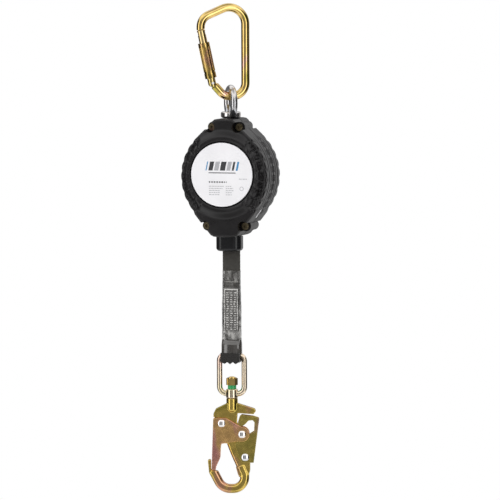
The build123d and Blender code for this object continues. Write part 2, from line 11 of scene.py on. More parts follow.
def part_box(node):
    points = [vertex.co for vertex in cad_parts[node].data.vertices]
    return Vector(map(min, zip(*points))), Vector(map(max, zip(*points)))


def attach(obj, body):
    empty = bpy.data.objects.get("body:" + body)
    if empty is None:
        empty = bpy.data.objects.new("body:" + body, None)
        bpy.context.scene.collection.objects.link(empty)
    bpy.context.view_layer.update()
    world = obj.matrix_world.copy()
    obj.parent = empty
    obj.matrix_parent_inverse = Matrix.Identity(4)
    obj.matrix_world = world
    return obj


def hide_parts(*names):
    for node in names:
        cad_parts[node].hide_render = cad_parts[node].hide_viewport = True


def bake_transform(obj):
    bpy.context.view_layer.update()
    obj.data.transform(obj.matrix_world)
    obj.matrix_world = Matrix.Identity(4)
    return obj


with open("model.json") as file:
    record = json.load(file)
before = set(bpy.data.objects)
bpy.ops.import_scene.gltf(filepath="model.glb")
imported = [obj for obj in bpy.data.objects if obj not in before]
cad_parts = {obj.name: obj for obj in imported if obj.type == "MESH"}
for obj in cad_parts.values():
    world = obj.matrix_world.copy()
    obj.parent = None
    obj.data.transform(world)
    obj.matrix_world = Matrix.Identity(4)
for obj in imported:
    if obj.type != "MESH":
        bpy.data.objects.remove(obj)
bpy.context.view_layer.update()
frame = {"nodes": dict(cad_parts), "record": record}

MM = 0.001
FLOOR_DROP = 2.8              # metres: room for the whole length of web below the hook


# ---------------------------------------------------------------- places
def centre(node):
    low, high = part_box(node)
    return (Vector(low) + Vector(high)) / 2


def low_of(node):
    return Vector(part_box(node)[0])


def high_of(node):
    return Vector(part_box(node)[1])


DRUM_Z = centre("front_label").z
HOOK_YAW = math.radians(16)   # the hook is turned about its stud


# ---------------------------------------------------------------- node helpers
class NodeTree:
    """A small wrapper that keeps node building readable."""

    def __init__(self, tree):
        self.nodes, self.links = tree.nodes, tree.links

    def feed(self, value, socket):
        if isinstance(value, bpy.types.NodeSocket):
            self.links.new(value, socket)
        elif isinstance(value, (int, float)):
            socket.default_value = value
        else:
            socket.default_value = (*value, 1)

    def ramp(self, factor, *stops, interpolation="LINEAR"):
        node = self.nodes.new("ShaderNodeValToRGB")
        band = node.color_ramp
        band.interpolation = interpolation
        while len(band.elements) < len(stops):
            band.elements.new(0.5)
        for element, (place, colour) in zip(band.elements, stops):
            element.position = place
            if isinstance(colour, (int, float)):
                colour = (colour, colour, colour)
            element.color = (*colour, 1)
        self.links.new(factor, node.inputs["Fac"])
        return node.outputs["Color"]

    def mix(self, factor, a, b, blend="MIX"):
        node = self.nodes.new("ShaderNodeMix")
        node.data_type = "RGBA"
        node.blend_type = blend
        for value, socket in ((factor, "Factor"), (a, "A"), (b, "B")):
            self.feed(value, node.inputs[socket])
        return node.outputs["Result"]

    def maths(self, operation, a, b=0.0):
        node = self.nodes.new("ShaderNodeMath")
        node.operation = operation
        self.feed(a, node.inputs[0])
        self.feed(b, node.inputs[1])
        return node.outputs[0]


# ---------------------------------------------------------------- camera and studio
CAMERA_AZIMUTH = math.radians(17)
CAMERA_ELEVATION = math.radians(4)
CAMERA_ROLL = math.radians(-0.24)
FRAME_SIDE = 0.5985           # metres that the picture spans at the object
CAMERA_DISTANCE = 6.0
SENSOR_WIDTH = 36             # millimetres
NEAR_CLIP, FAR_CLIP = 0.05, 50
AIM_RIGHT = 0.0222            # the object hangs left of the picture's middle
AIM_Z = -0.2853
STUDIO_MIDDLE = (0, 0, -0.3)
FLOOR_HALF_SIDE = 6.0
# name, place, size and power of each area light, in metres and watts
LIGHTS = (
    ("key", (-1.5, -1.8, 0.9), (1.8, 2.2), 15),
    ("fill", (1.7, -1.2, 0.1), (1.0, 1.8), 4),
    ("top", (0.1, -0.3, 1.5), (1.4, 1.2), 9),
    ("rim", (1.3, 1.5, 0.3), (0.8, 1.6), 6),
    ("edge", (-1.6, 1.0, -0.1), (0.7, 1.6), 4),
)
WORLD_STRENGTH = 0.82
# Brightness round the horizon as (place, level): 0 and 1 are behind the object, 0.5 is the camera.
GLOW_BANDS = (
    (0.0, 0.30), (0.12, 0.18), (0.20, 0.05), (0.285, 0.10), (0.32, 2.6), (0.355, 3.0),
    (0.382, 0.32), (0.43, 0.24), (0.455, 0.5), (0.52, 0.36), (0.55, 0.7), (0.58, 3.2),
    (0.605, 2.6), (0.63, 0.07), (0.82, 0.05), (0.87, 0.9), (0.93, 0.9), (0.97, 0.35), (1.0, 0.30),
)
# Brightness from straight below, at 0, to straight above, at 1.
POLE_BANDS = (
    (0.0, 0.4), (0.11, 1.5), (0.20, 1.1), (0.32, 0.28),
    (0.62, 0.42), (0.80, 1.4), (0.88, 1.7), (1.0, 0.6),
)
# Where the bands above and below take over from those round the horizon.
POLE_SHARE = ((0.0, 1.0), (0.18, 1.0), (0.36, 0.0), (0.64, 0.0), (0.82, 1.0), (1.0, 1.0))


def camera_axes():
    az, el = CAMERA_AZIMUTH, CAMERA_ELEVATION
    right = Vector((math.cos(az), math.sin(az), 0))
    towards = Vector((math.sin(az) * math.cos(el), -math.cos(az) * math.cos(el), math.sin(el)))
    return right, towards


def make_camera():
    right, towards = camera_axes()
    aim = Vector((0, 0, AIM_Z)) + right * AIM_RIGHT
    data = bpy.data.cameras.new("camera")
    camera = bpy.data.objects.new("camera", data)
    bpy.context.collection.objects.link(camera)
    camera.location = aim + towards * CAMERA_DISTANCE
    facing = (-towards).to_track_quat("-Z", "Y").to_matrix()
    camera.rotation_euler = (facing @ Matrix.Rotation(CAMERA_ROLL, 3, "Z")).to_euler()
    data.sensor_width = SENSOR_WIDTH
    data.lens = SENSOR_WIDTH * CAMERA_DISTANCE / FRAME_SIDE
    data.clip_start = NEAR_CLIP
    data.clip_end = FAR_CLIP
    bpy.context.scene.camera = camera


def area_light(name, place, size, power):
    data = bpy.data.lights.new(name, "AREA")
    data.shape = "RECTANGLE"
    data.size, data.size_y = size
    data.energy = power
    light = bpy.data.objects.new(name, data)
    bpy.context.collection.objects.link(light)
    light.location = place
    light.visible_glossy = False
    direction = Vector(STUDIO_MIDDLE) - Vector(place)
    light.rotation_euler = direction.to_track_quat("-Z", "Y").to_euler()


def world_glow(tree):
    """Soft upright bands of light with dark between them, and softer light above and below."""
    place = tree.nodes.new("ShaderNodeTexCoord")
    parts = tree.nodes.new("ShaderNodeSeparateXYZ")
    tree.links.new(place.outputs["Generated"], parts.inputs[0])
    front = tree.maths("MULTIPLY", parts.outputs["Y"], -1.0)
    turn = tree.maths("ARCTAN2", parts.outputs["X"], front)
    turn = tree.maths("SUBTRACT", turn, CAMERA_AZIMUTH)
    turn = tree.maths("FRACT", tree.maths("ADD", tree.maths("DIVIDE", turn, 2 * math.pi), 1.5))
    round_horizon = tree.ramp(turn, *GLOW_BANDS, interpolation="EASE")
    height = tree.maths("MULTIPLY", tree.maths("ADD", parts.outputs["Z"], 1.0), 0.5)
    poles = tree.ramp(height, *POLE_BANDS, interpolation="EASE")
    share = tree.ramp(height, *POLE_SHARE, interpolation="EASE")
    return tree.mix(share, round_horizon, poles)


def make_world():
    """White where the camera sees it, and banded where it lights or is reflected."""
    world = bpy.data.worlds.new("studio")
    bpy.context.scene.world = world
    world.use_nodes = True
    nodes, links = world.node_tree.nodes, world.node_tree.links
    nodes.clear()
    out = nodes.new("ShaderNodeOutputWorld")
    seen = nodes.new("ShaderNodeBackground")
    seen.inputs["Color"].default_value = (1, 1, 1, 1)
    seen.inputs["Strength"].default_value = 1.0
    lit = nodes.new("ShaderNodeBackground")
    links.new(world_glow(NodeTree(world.node_tree)), lit.inputs["Color"])
    lit.inputs["Strength"].default_value = WORLD_STRENGTH
    path = nodes.new("ShaderNodeLightPath")
    mix = nodes.new("ShaderNodeMixShader")
    links.new(path.outputs["Is Camera Ray"], mix.inputs[0])
    links.new(lit.outputs[0], mix.inputs[1])
    links.new(seen.outputs[0], mix.inputs[2])
    links.new(mix.outputs[0], out.inputs["Surface"])


def make_studio():
    bpy.context.scene.view_settings.view_transform = "Standard"
    make_world()
    for name, place, size, power in LIGHTS:
        area_light(name, place, size, power)
    mesh = bpy.data.meshes.new("floor")
    half, z = FLOOR_HALF_SIDE, low_of("hook_body").z - FLOOR_DROP
    corners = [(-half, -half, z), (half, -half, z), (half, half, z), (-half, half, z)]
    mesh.from_pydata(corners, [], [(0, 1, 2, 3)])
    floor = bpy.data.objects.new("floor", mesh)
    bpy.context.collection.objects.link(floor)
    paint = bpy.data.materials.new("floor_paint")
    paint.use_nodes = True
    shader = paint.node_tree.nodes["Principled BSDF"]
    shader.inputs["Base Color"].default_value = (0, 0, 0, 1)
    shader.inputs["Specular IOR Level"].default_value = 0.0
    shader.inputs["Emission Color"].default_value = (1, 1, 1, 1)
    shader.inputs["Emission Strength"].default_value = 1.0
    mesh.materials.append(paint)
    floor.visible_glossy = False
    floor.visible_diffuse = False
    floor.visible_transmission = True


# ---------------------------------------------------------------- material helpers
class Paint(NodeTree):
    """A new material, with the textures and shader sockets that the finishes use."""

    def __init__(self, name):
        self.material = bpy.data.materials.new(name)
        self.material.use_nodes = True
        super().__init__(self.material.node_tree)
        self.shader = self.nodes["Principled BSDF"]
        self.place = self.nodes.new("ShaderNodeTexCoord").outputs["Object"]

    def set(self, **values):
        for name, value in values.items():
            socket = self.shader.inputs[name.replace("_", " ")]
            socket.default_value = value
        return self

    def scaled(self, x, y, z, turn=(0, 0, 0)):
        node = self.nodes.new("ShaderNodeMapping")
        node.inputs["Scale"].default_value = (x, y, z)
        node.inputs["Rotation"].default_value = turn
        self.links.new(self.place, node.inputs["Vector"])
        return node.outputs["Vector"]

    def noise(self, scale, detail=2.0, vector=None, distortion=0.0, roughness=0.5):
        node = self.nodes.new("ShaderNodeTexNoise")
        node.inputs["Scale"].default_value = scale
        node.inputs["Detail"].default_value = detail
        node.inputs["Roughness"].default_value = roughness
        node.inputs["Distortion"].default_value = distortion
        self.links.new(vector or self.place, node.inputs["Vector"])
        return node.outputs["Fac"]

    def wave(self, scale, vector, direction="X", distortion=0.0, detail=0.0):
        node = self.nodes.new("ShaderNodeTexWave")
        node.bands_direction = direction
        node.inputs["Scale"].default_value = scale
        node.inputs["Distortion"].default_value = distortion
        node.inputs["Detail"].default_value = detail
        self.links.new(vector, node.inputs["Vector"])
        return node.outputs["Fac"]

    def colour(self, output):
        self.links.new(output, self.shader.inputs["Base Color"])
        return self

    def roughness(self, output):
        self.links.new(output, self.shader.inputs["Roughness"])
        return self

    def bump(self, height, distance, strength=1.0):
        node = self.nodes.new("ShaderNodeBump")
        node.inputs["Distance"].default_value = distance
        node.inputs["Strength"].default_value = strength
        self.links.new(height, node.inputs["Height"])
        earlier = self.shader.inputs["Normal"]
        if earlier.is_linked:
            self.links.new(earlier.links[0].from_socket, node.inputs["Normal"])
        self.links.new(node.outputs["Normal"], self.shader.inputs["Normal"])
        return self


# ---------------------------------------------------------------- materials
YARN_PITCH = 0.7 * MM


def zinc(name, gold, rose, olive, rough=(0.16, 0.26), patch=24.0):
    """Yellow zinc plate: gold that drifts to rose and olive, with soft dull patches."""
    paint = Paint(name).set(Metallic=1.0)
    drift = paint.noise(patch, 2.5, paint.scaled(1.0, 1.0, 0.6), 1.2)
    fine = paint.noise(patch * 6, 3.0)
    violet = (rose[0] * 0.80, rose[1] * 0.62, rose[2] * 0.95)
    base = paint.ramp(
        drift, (0.34, olive), (0.44, gold), (0.55, gold), (0.62, rose), (0.74, violet))
    speckle = paint.ramp(fine, (0.35, 0.80), (0.7, 1.0))
    paint.colour(paint.mix(1.0, base, speckle, "MULTIPLY"))
    paint.roughness(paint.ramp(fine, (0.3, rough[0]), (0.75, rough[1])))
    paint.bump(paint.noise(90, 0.0), 0.00004, 0.2)
    return paint.material


def bright_steel(name, tone=0.62, rough=(0.14, 0.28)):
    """Bare polished metal, a little warmer in places and cooler in others."""
    paint = Paint(name).set(Metallic=1.0)
    cloud = paint.noise(60, 3.0, distortion=0.6)
    warm = (tone * 1.05, tone * 0.99, tone * 0.95)
    cool = (tone * 0.82, tone * 0.84, tone * 0.88)
    paint.colour(paint.ramp(cloud, (0.35, cool), (0.65, warm)))
    paint.roughness(paint.ramp(paint.noise(240, 3.0), (0.3, rough[0]), (0.7, rough[1])))
    paint.bump(paint.noise(90, 0.0), 0.00004, 0.2)
    return paint.material


def black_plastic(name, tone=(0.0078, 0.0070, 0.0075), rough=(0.26, 0.36)):
    """Moulded plastic with a fine spark-eroded grain and a faint rubbed sheen."""
    paint = Paint(name).set(Specular_IOR_Level=0.34)
    drift = paint.noise(26, 3.0)
    lighter = tuple(channel * 1.5 for channel in tone)
    paint.colour(paint.ramp(drift, (0.35, tone), (0.7, lighter)))
    paint.roughness(paint.ramp(paint.noise(90, 4.0), (0.3, rough[0]), (0.7, rough[1])))
    paint.bump(paint.noise(900, 2.0), 0.00003, 0.3)
    return paint.material


def label_film(name):
    """Printed vinyl under a thin clear coat."""
    paint = Paint(name).set(Specular_IOR_Level=0.5, Coat_Weight=0.25, Coat_Roughness=0.12)
    drift = paint.noise(30, 2.0)
    paint.colour(paint.ramp(drift, (0.3, (0.80, 0.79, 0.81)), (0.7, (0.86, 0.85, 0.87))))
    paint.roughness(paint.ramp(paint.noise(400, 2.0), (0.3, 0.30), (0.7, 0.40)))
    paint.bump(paint.noise(1200, 2.0), 0.00002, 0.4)
    return paint.material


def ink(name, colour, rough=0.42):
    paint = Paint(name)
    worn = tuple(min(1, channel * 1.25 + 0.01) for channel in colour)
    paint.colour(paint.ramp(paint.noise(900, 2.0), (0.3, colour), (0.8, worn)))
    paint.set(Roughness=rough)
    paint.bump(paint.noise(1500, 1.0), 0.00002, 0.4)
    return paint.material


def webbing(name, tone, rib=1.3 * MM):
    """Flat woven web: cross ribs, warp yarns along it and a little fuzz."""
    paint = Paint(name).set(Sheen_Weight=0.35, Sheen_Roughness=0.5, Specular_IOR_Level=0.3)
    ribs = paint.wave(1 / (math.pi * rib), paint.place, "Z", 0.4, 1.0)
    yarns = paint.wave(1 / (math.pi * YARN_PITCH), paint.place, "X")
    weave = paint.maths("MULTIPLY", ribs, yarns)
    lighter = tuple(channel * 2.3 for channel in tone)
    dust = paint.ramp(paint.noise(160, 4.0), (0.45, 0.0), (0.75, 0.35))
    dusty = paint.mix(dust, tone, lighter)
    paint.colour(paint.mix(weave, dusty, lighter))
    paint.set(Roughness=0.82)
    paint.bump(weave, 0.00025, 0.9)
    paint.bump(paint.noise(2600, 2.0), 0.00006, 0.6)
    return paint.material


def clear_film(name, tint, pale, low_z, high_z, half_width):
    """Shrink film: see-through in the middle and creased, with painted sheen that makes it paler and
    more opaque along its folded sides and at its ends, broken up by its own milky haze.
    """
    paint = Paint(name).set(Specular_IOR_Level=0.6, Coat_Weight=0.6, Coat_Roughness=0.06)
    haze = paint.noise(210, 3.0, paint.scaled(1.0, 1.0, 0.45), 0.5)
    streak = paint.noise(150, 3.0, paint.scaled(1.0, 1.0, 0.3), 0.8)
    parts = paint.nodes.new("ShaderNodeSeparateXYZ")
    paint.links.new(paint.place, parts.inputs[0])
    aside = paint.maths("DIVIDE", paint.maths("ABSOLUTE", parts.outputs["X"]), half_width)
    # painted sheen: the film turns paler and more opaque towards its folded sides
    edge = paint.ramp(aside, (0.74, 0.0), (0.90, 1.0))
    below = paint.maths("SUBTRACT", high_z, parts.outputs["Z"])
    down = paint.maths("DIVIDE", below, high_z - low_z)
    # painted sheen: paler and more opaque near the top end, and more so near the bottom end
    ends = paint.ramp(
        down, (0.0, 0.55), (0.17, 0.45), (0.22, 0.05), (0.84, 0.05), (0.90, 0.9), (1.0, 0.7))
    painted_sheen_mask = paint.maths("MAXIMUM", edge, ends)
    # the haze noise, the film's own milkiness, breaks up the painted sheen
    painted_sheen_and_haze = paint.maths("MULTIPLY", painted_sheen_mask, paint.ramp(haze, (0.32, 0.35), (0.68, 1.0)))
    paint.colour(paint.mix(paint.ramp(haze, (0.40, 0.0), (0.66, 1.0)), tint, pale))
    paint.roughness(paint.ramp(haze, (0.3, 0.08), (0.7, 0.24)))
    paint.bump(streak, 0.0004, 0.4)
    cover = paint.ramp(painted_sheen_and_haze, (0.0, 0.05), (1.0, 0.80))
    paint.links.new(cover, paint.shader.inputs["Alpha"])
    return paint.material


def glossy_film(name, tone):
    """Thick smoked heat-shrink: nearly black, with long soft highlights."""
    paint = Paint(name).set(Specular_IOR_Level=0.9, Coat_Weight=0.8, Coat_Roughness=0.12)
    drift = paint.noise(70, 3.0, paint.scaled(1.0, 1.0, 0.4))
    lighter = tuple(channel * 2.2 for channel in tone)
    paint.colour(paint.ramp(drift, (0.3, tone), (0.75, lighter)))
    paint.roughness(paint.ramp(drift, (0.3, 0.16), (0.7, 0.30)))
    paint.bump(drift, 0.0003, 0.25)
    return paint.material


MATERIALS = {}
# gold, rose and olive colours of each zinc plate, then its roughness range
ZINC_PLATES = {
    "zinc_gold": ((0.80, 0.57, 0.20), (0.90, 0.54, 0.42), (0.46, 0.40, 0.08), (0.07, 0.12)),
    "zinc_gold_dark": (
        (0.60, 0.41, 0.13), (0.55, 0.33, 0.17), (0.34, 0.25, 0.07), (0.16, 0.26), 40),
    "zinc_olive": ((0.72, 0.52, 0.13), (0.76, 0.44, 0.22), (0.46, 0.37, 0.075), (0.18, 0.28)),
    "zinc_lever": ((0.60, 0.47, 0.12), (0.63, 0.42, 0.24), (0.42, 0.37, 0.085), (0.20, 0.32)),
    "zinc_rose": ((0.92, 0.56, 0.22), (0.95, 0.50, 0.34), (0.70, 0.48, 0.15), (0.22, 0.34)),
    "zinc_gate": ((0.86, 0.66, 0.30), (0.90, 0.60, 0.42), (0.62, 0.50, 0.16), (0.14, 0.24)),
    "zinc_pale": ((0.90, 0.76, 0.58), (0.92, 0.68, 0.56), (0.78, 0.68, 0.42), (0.14, 0.26)),
    # bolt heads: the zinc is darkened to paint in the shade of the recesses that they sit in
    "bolt_gold": ((0.20, 0.165, 0.10), (0.20, 0.15, 0.09), (0.11, 0.09, 0.05), (0.22, 0.32), 90),
}
STEELS = {
    "steel_bright": (),
    "rivet_steel": (0.92, (0.12, 0.2)),
    "steel_inner": (0.5, (0.25, 0.4)),
    "brass": (0.6,),
}
PLASTICS = {
    "housing_black": (),
    "nozzle_black": ((0.008, 0.008, 0.009), (0.16, 0.26)),
    "drum_plastic": ((0.5, 0.5, 0.48),),
    "brake_lining": ((0.16, 0.11, 0.07),),
    "groove_black": ((0.006, 0.006, 0.007), (0.5, 0.6)),
}
INKS = {
    "label_grey": ((0.085, 0.082, 0.078),),
    "indicator_green": ((0.02, 0.30, 0.09), 0.3),
    "ink_dark": ((0.030, 0.030, 0.034),),
    "ink_grey": ((0.36, 0.36, 0.38),),
    "tag_pale": ((0.62, 0.61, 0.59),),
    "ink_accent": ((0.05, 0.22, 0.42),),
}
WEBBINGS = {
    "web_black": ((0.030, 0.0275, 0.0235),),
    "web_dark": ((0.010, 0.009, 0.008),),
    "thread": ((0.30, 0.29, 0.27), 0.6 * MM),
}
FINISHES = (
    (zinc, ZINC_PLATES), (bright_steel, STEELS), (black_plastic, PLASTICS), (ink, INKS),
    (webbing, WEBBINGS),
)
# CAD nodes whose finish is not the one that their slot names
# the bolts take the darkened zinc that paints the shade of their recesses
OTHER_FINISH = {"housing_bolts": "bolt_gold", "carabiner_gate": "zinc_gate"}


def make_materials():
    for recipe, table in FINISHES:
        for name, values in table.items():
            MATERIALS[name] = recipe(name, *values)
    sleeve_low, sleeve_high = low_of("shrink_sleeve"), high_of("shrink_sleeve")
    MATERIALS["sleeve_clear"] = clear_film(
        "sleeve_clear", (0.16, 0.155, 0.15), (0.55, 0.54, 0.52),
        sleeve_low.z, sleeve_high.z, sleeve_high.x)
    MATERIALS["band_grey"] = glossy_film("band_grey", (0.030, 0.027, 0.024))
    MATERIALS["label_white"] = label_film("label_white")


def dress(piece, name):
    piece.data.materials.clear()
    piece.data.materials.append(MATERIALS[name])


def dress_cad_nodes():
    """Every CAD node that shows takes a procedural material, nearly always that of its slot."""
    slots = {row["node"]: row["material_slot"] for row in frame["record"]["subparts"]}
    for node, thing in frame["nodes"].items():
        finish = OTHER_FINISH.get(node, slots[node])
        for place in thing.material_slots:
            place.material = MATERIALS[finish]
        for face in thing.data.polygons:
            face.use_smooth = True


# ---------------------------------------------------------------- mesh helpers
def add_mesh(name, vertices, faces, smooth=True):
    mesh = bpy.data.meshes.new(name)
    mesh.from_pydata([tuple(v) for v in vertices], [], faces)
    mesh.update()
    piece = bpy.data.objects.new(name, mesh)
    bpy.context.collection.objects.link(piece)
    if smooth:
        for face in mesh.polygons:
            face.use_smooth = True
    return piece


def tidy_normals(piece):
    work = bmesh.new()
    work.from_mesh(piece.data)
    bmesh.ops.recalc_face_normals(work, faces=work.faces)
    work.to_mesh(piece.data)
    work.free()
    return piece


def apply_modifiers(piece):
    bpy.context.view_layer.update()
    evaluated = piece.evaluated_get(bpy.context.evaluated_depsgraph_get())
    mesh = bpy.data.meshes.new_from_object(evaluated)
    piece.modifiers.clear()
    piece.data = mesh
    return piece


def smooth_by_angle(piece, degrees=40):
    """Smooth shading that keeps creases sharper than the angle."""
    mesh = piece.data
    for face in mesh.polygons:
        face.use_smooth = True
    mesh.set_sharp_from_angle(angle=math.radians(degrees))
    return piece


def cut(piece, cutter, operation="DIFFERENCE"):
    modifier = piece.modifiers.new("cut", "BOOLEAN")
    modifier.operation = operation
    modifier.solver = "EXACT"
    modifier.object = cutter
    apply_modifiers(piece)
    bpy.data.objects.remove(cutter)
    return piece


def rod_between(name, start, end, radius, sides=48):
    """A plain closed rod, used to cut other pieces, to build them up or to fill them."""
    start, end = Vector(start), Vector(end)
    direction = (end - start).normalized()
    side = direction.orthogonal().normalized()
    other = direction.cross(side)
    vertices = []
    for end_point in (start, end):
        for step in range(sides):
            turn = 2 * math.pi * step / sides
            across, up = radius * math.cos(turn), radius * math.sin(turn)
            vertices.append(end_point + side * across + other * up)
    return tidy_normals(add_mesh(name, vertices, tube_faces(2, sides)))


def grid_faces(rows, columns, closed=False):
    """Quads between rows of points; closed joins each row's end to its start."""
    faces = []
    last = columns if closed else columns - 1
    for row in range(rows - 1):
        for column in range(last):
            after = (column + 1) % columns
            faces.append((
                row * columns + column, row * columns + after,
                (row + 1) * columns + after, (row + 1) * columns + column))
    return faces


def tube_faces(rows, columns):
    """Faces of a tube through rings of points, closed at both ends."""
    last = (rows - 1) * columns
    ends = [tuple(range(columns)), tuple(range(last, last + columns))]
    return grid_faces(rows, columns, closed=True) + ends


def lathe(name, profile, sides, origin, facing):
    """Turns (radius, height) points about Y, with the height towards the facing side.
    Ends on the axis are closed."""
    vertices = []
    for radius, height in profile:
        for step in range(sides):
            turn = 2 * math.pi * step / sides
            x, y = radius * math.cos(turn), radius * math.sin(turn)
            vertices.append(Vector((x, y, height)))
    piece = add_mesh(name, vertices, grid_faces(len(profile), sides, closed=True))
    work = bmesh.new()
    work.from_mesh(piece.data)
    bmesh.ops.remove_doubles(work, verts=work.verts, dist=1e-6)
    bmesh.ops.recalc_face_normals(work, faces=work.faces)
    work.to_mesh(piece.data)
    work.free()
    turn = Matrix.Rotation(math.radians(-90 * facing), 4, "X")
    piece.data.transform(Matrix.Translation(Vector(origin)) @ turn)
    return piece


# ---------------------------------------------------------------- case
CASE_TOP = high_of("front_shell").z
CASE_Y = (low_of("front_shell").y + high_of("rear_shell").y) / 2
RIM_Y = high_of("rear_shell").y - CASE_Y
SIDE_Y = RIM_Y - 6.5 * MM     # the face's height over the seam at its edge
SEAT_Y = RIM_Y - 3.2 * MM     # the label's seat over the seam
LABEL_R = 38.0 * MM
SEAT_R = LABEL_R - 6 * MM     # inside this the label hides the case
GROOVE_R = 39.4 * MM
CREST_R = 43.8 * MM
RIM_FOOT_R = 50.5 * MM
SEAM = 0.15 * MM              # half the gap between the two halves
LIP_DEPTH = 0.9 * MM
CORNER_R = 3.2 * MM           # where the face rounds on to the side wall
SCALLOP_DEPTH, SCALLOP_PITCH = 0.9 * MM, 11.5 * MM
BEAD_DEPTH, BEAD_PITCH = 1.1 * MM, 4.4 * MM
PEBBLE_DEPTH = 1.7 * MM
PEBBLE_HALF_ANGLE = math.radians(54)
PEBBLE_SPAN = 75              # millimetres of rim that pebbles are spread over, each way
PEBBLE_ROWS = ((44.4, 12.4, 0.0), (53.4, 10.2, 0.45))     # radius, pitch and shift along
BOLT_HEAD_R = 4.4 * MM
UPPER_BOLT_X = 17.0 * MM
RECESS_R, BOSS_R = 6.3 * MM, 6.2 * MM
BOSS_HEIGHT = 15.9 * MM       # from the seam to the floor of a bolt's recess
EYE_HOLE_R = 6.4 * MM
CASE_COLUMNS = 900
RIM_LENGTH_R = 50 * MM        # turns an angle round the rim into a length along it
LEFT_SHIFT = 2.6 * MM         # so that the left side's pattern isn't the right side's
# on the face: middle and width of the row of beads and of the ditch, in mm in from its edge
BEAD_ROW, DITCH = (5.0, 1.3), (6.8, 0.7)
DITCH_DEPTH = 0.8 * MM
# on the side wall: middle and width of its grooves and of the lip, in mm over the seam
UPPER_GROOVE, LOWER_GROOVE, LIP = (17.0, 0.7), (9.5, 0.5), (0.4, 0.6)
GROOVE_DEPTH = 0.7 * MM
DASH_ROW, DASH_HALF_HEIGHT = 4.2, 1.5
DASH_DEPTH, DASH_PITCH = 1.3 * MM, 10 * MM
WALL_TOP, WALL_FOOT, WALL_STEP = 26.5, 0.1, 0.5
SCALLOP_FOOT, SCALLOP_RISE = 21.0, 5.0


def right_outline():
    """The case's right side as (x, z) points from the middle top to the middle bottom."""
    shoulder, hip = (31.3, -147.0), (42.8, -231.0)
    points = [(0, -127.0), (8.0, -127.0), (11.5, -127.6), (14.0, -129.6), (22.0, -138.0), shoulder]
    cx, cz, radius = -10.75, -195.6, 64.3
    first = math.atan2(shoulder[1] - cz, shoulder[0] - cx)
    last = math.atan2(hip[1] - cz, hip[0] - cx)
    for step in range(1, 24):
        turn = first + (last - first) * step / 24
        points.append((cx + radius * math.cos(turn), cz + radius * math.sin(turn)))
    points += [
        hip, (36.4, -241.5), (28.4, -251.6), (20.5, -261.2), (16.6, -265.8), (13.0, -267.6),
        (8.0, -268.0), (0, -268.0),
    ]
    return [(x * MM, z * MM) for x, z in points]


def outline_radius(angles):
    """Distance from the drum's axis to the case's outline at each angle."""
    right = right_outline()
    loop = right + [(-x, z) for x, z in reversed(right[1:-1])]
    px = np.array([x for x, _ in loop])
    pz = np.array([z for _, z in loop]) - DRUM_Z
    # points along each straight, so that the radius follows the straight and not an arc
    turns, fars = [], []
    count = len(loop)
    for i in range(count):
        j = (i + 1) % count
        for share in np.linspace(0, 1, 24, endpoint=False):
            x = px[i] + (px[j] - px[i]) * share
            z = pz[i] + (pz[j] - pz[i]) * share
            turns.append(math.atan2(z, x))
            fars.append(math.hypot(x, z))
    order = np.argsort(turns)
    turns, fars = np.array(turns)[order], np.array(fars)[order]
    turns = np.concatenate([turns - 2 * math.pi, turns, turns + 2 * math.pi])
    fars = np.tile(fars, 3)
    return np.interp((angles + math.pi) % (2 * math.pi) - math.pi, turns, fars)


def smooth_step(value, start, end):
    share = np.clip((value - start) / (end - start), 0, 1)
    return share * share * (3 - 2 * share)


def pebble_field(x, z):
    """0 in the crack between pebbles and 1 well inside one.
    x is the distance along the rim and z the distance across it, both in metres."""
    rng = random.Random(11)
    seeds = []
    for across, pitch, shift in PEBBLE_ROWS:
        count = int(PEBBLE_SPAN / pitch)
        for column in range(-count, count + 1):
            along = (column + shift + rng.uniform(-0.2, 0.2)) * pitch * MM
            seeds.append((along, (across + rng.uniform(-0.9, 0.9)) * MM))
    nearest = np.full(x.shape, 9.0)
    second = np.full(x.shape, 9.0)
    for along, across in seeds:
        distance = np.hypot((x - along) * 0.8, z - across)
        closer = distance < nearest
        second = np.where(closer, nearest, np.minimum(second, distance))
        nearest = np.where(closer, distance, nearest)
    gap = second - nearest
    return 0.55 * smooth_step(gap, 0.0, 2.6 * MM) + 0.45 * smooth_step(gap, 0.0, 8.5 * MM)


def face_height(rho, pebbles, sides):
    """Height of a face over the seam at a distance rho from the drum's axis."""
    crest = RIM_Y - 0.2 * MM
    inner = smooth_step(rho, GROOVE_R - 0.3 * MM, GROOVE_R + 0.5 * MM)
    inner_reach = CREST_R - GROOVE_R + 0.2 * MM
    rise = np.sqrt(np.clip(1 - ((rho - CREST_R) / inner_reach) ** 2, 0, 1))
    left = SEAT_Y + (crest - SEAT_Y) * (0.35 * inner + 0.65 * rise * inner)
    fall = smooth_step(rho, CREST_R, RIM_FOOT_R + 4 * MM * (1 - sides))
    right = crest - (crest - SIDE_Y) * fall
    height = np.where(rho < CREST_R, left, right)
    carve = smooth_step(rho, GROOVE_R + 1.2 * MM, GROOVE_R + 3.5 * MM)
    return height - PEBBLE_DEPTH * (1 - pebbles) * sides * carve


def bump_at(value, middle, width):
    """1 at the middle, and falling off softly to either side."""
    return np.exp(-((value - middle) / width) ** 2)


